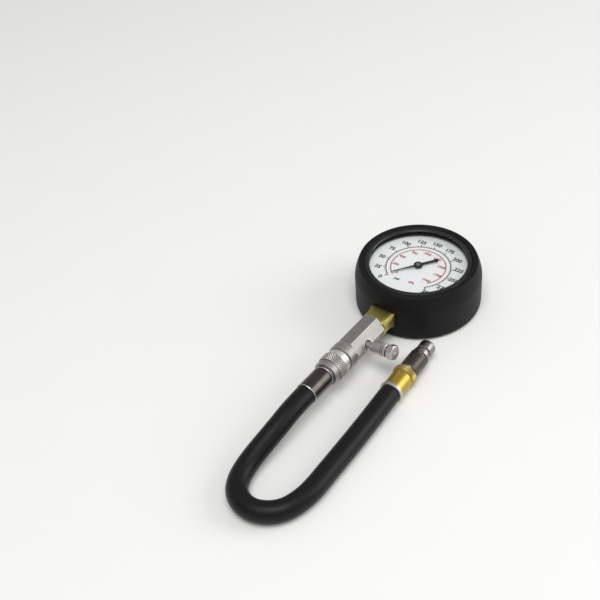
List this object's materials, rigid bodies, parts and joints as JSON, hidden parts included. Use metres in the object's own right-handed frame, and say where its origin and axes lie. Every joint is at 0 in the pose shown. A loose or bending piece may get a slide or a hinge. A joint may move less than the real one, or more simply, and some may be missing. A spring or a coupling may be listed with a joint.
{
  "type": "compression tester gauge",
  "caption": "Dial gauge in a black rubber boot with a brass stem, hexagonal adapter, relief valve and quick coupler, and a short rubber hose ending in a spark plug thread.",
  "frame": {"origin": "centre of the rubber boot's flat back, on the floor that the gauge lies on", "axes": "+Z out of the dial, the stem and the coupler along -Y, the relief valve on the +X side"},
  "size_m": [0.0978, 0.2791, 0.037],
  "materials": {
    "boot_rubber": "matte",
    "case_paint": "satin",
    "lens_glass": "gloss",
    "seal_rubber": "matte",
    "dial_paint": "satin",
    "pointer_paint": "satin",
    "movement_brass": "satin",
    "tube_bronze": "satin",
    "stem_brass": "satin",
    "screw_steel": "satin",
    "spring_steel": "satin",
    "adapter_nickel": "satin",
    "valve_nickel": "gloss",
    "coupler_nickel": "satin",
    "ferrule_chrome": "gloss",
    "hose_rubber": "matte",
    "ring_chrome": "gloss",
    "gold_ferrule": "gloss",
    "grip_brass": "satin",
    "thread_chrome": "gloss"
  },
  "bodies": {
    "gauge": {"rubber_boot": "boot_rubber", "gauge_case": "case_paint", "bezel_ring": "case_paint", "lens": "lens_glass", "lens_gasket": "seal_rubber", "dial_plate": "dial_paint", "dial_screws": "screw_steel", "hairspring": "spring_steel", "movement_bottom_plate": "movement_brass", "movement_top_plate": "movement_brass", "movement_pillars": "movement_brass", "movement_screws": "screw_steel", "bourdon_tube": "tube_bronze", "tube_tip": "tube_bronze", "gauge_socket": "stem_brass", "case_screws": "screw_steel", "adapter_body": "adapter_nickel", "adapter_seal": "seal_rubber", "relief_body": "valve_nickel", "relief_spring": "spring_steel", "coupler_body": "coupler_nickel", "coupler_spring": "spring_steel", "coupler_balls": "screw_steel", "coupler_seal": "seal_rubber", "coupler_snap_ring": "spring_steel"},
    "pointer": {"pointer": "pointer_paint", "pointer_arbor": "movement_brass"},
    "sector": {"sector_gear": "movement_brass"},
    "link": {"link_bar": "movement_brass"},
    "button": {"relief_button": "valve_nickel", "relief_stem": "valve_nickel", "relief_seal": "seal_rubber"},
    "sleeve": {"coupler_sleeve": "coupler_nickel"},
    "hose_line": {"hose_plug": "ferrule_chrome", "plug_ferrule": "ferrule_chrome", "hose": "hose_rubber", "end_ring": "ring_chrome", "end_ferrule": "gold_ferrule", "grip_ring": "grip_brass", "threaded_end": "thread_chrome", "valve_core": "movement_brass", "core_spring": "spring_steel"},
    "core_pin": {"core_pin": "screw_steel"}
  },
  "joints": [
    {"name": "sector_swing", "type": "hinge", "parent": "gauge", "child": "sector", "pos_m": [0.01595, -0.01595, 0.0256], "axis": [0, 0, 1], "range_deg": [0, 35], "stiffness_Nm_per_rad": 0.01},
    {"name": "pointer_turn", "type": "hinge", "parent": "gauge", "child": "pointer", "pos_m": [0, 0, 0.0256], "axis": [0, 0, -1], "range_deg": [0, 280], "deforming": ["hairspring"]},
    {"name": "link_turn", "type": "hinge", "parent": "sector", "child": "link", "pos_m": [0.02142, -0.01945, 0.0256], "axis": [0, 0, 1], "range_deg": [-35, 0]},
    {"name": "relief_press", "type": "slide", "parent": "gauge", "child": "button", "axis": [-0.9877, 0, -0.1564], "range_m": [0, 0.0014], "stiffness_N_per_m": 150, "springref_m": -0.004, "deforming": ["relief_spring"]},
    {"name": "sleeve_pull", "type": "slide", "parent": "gauge", "child": "sleeve", "axis": [0, 1, 0], "range_m": [0, 0.0024], "stiffness_N_per_m": 200, "springref_m": -0.004, "deforming": ["coupler_spring"]},
    {"name": "hose_swivel", "type": "hinge", "parent": "gauge", "child": "hose_line", "pos_m": [0, -0.1101, 0.0185], "axis": [0, -1, 0], "continuous": true},
    {"name": "core_press", "type": "slide", "parent": "hose_line", "child": "core_pin", "axis": [0.0523, -0.9986, 0], "range_m": [0, 0.001], "stiffness_N_per_m": 10, "springref_m": -0.002, "deforming": ["core_spring"]}
  ],
  "couplings": [
    {"joint": "pointer_turn", "follows": "sector_swing", "ratio": 8},
    {"joint": "link_turn", "follows": "sector_swing", "ratio": -1}
  ]
}
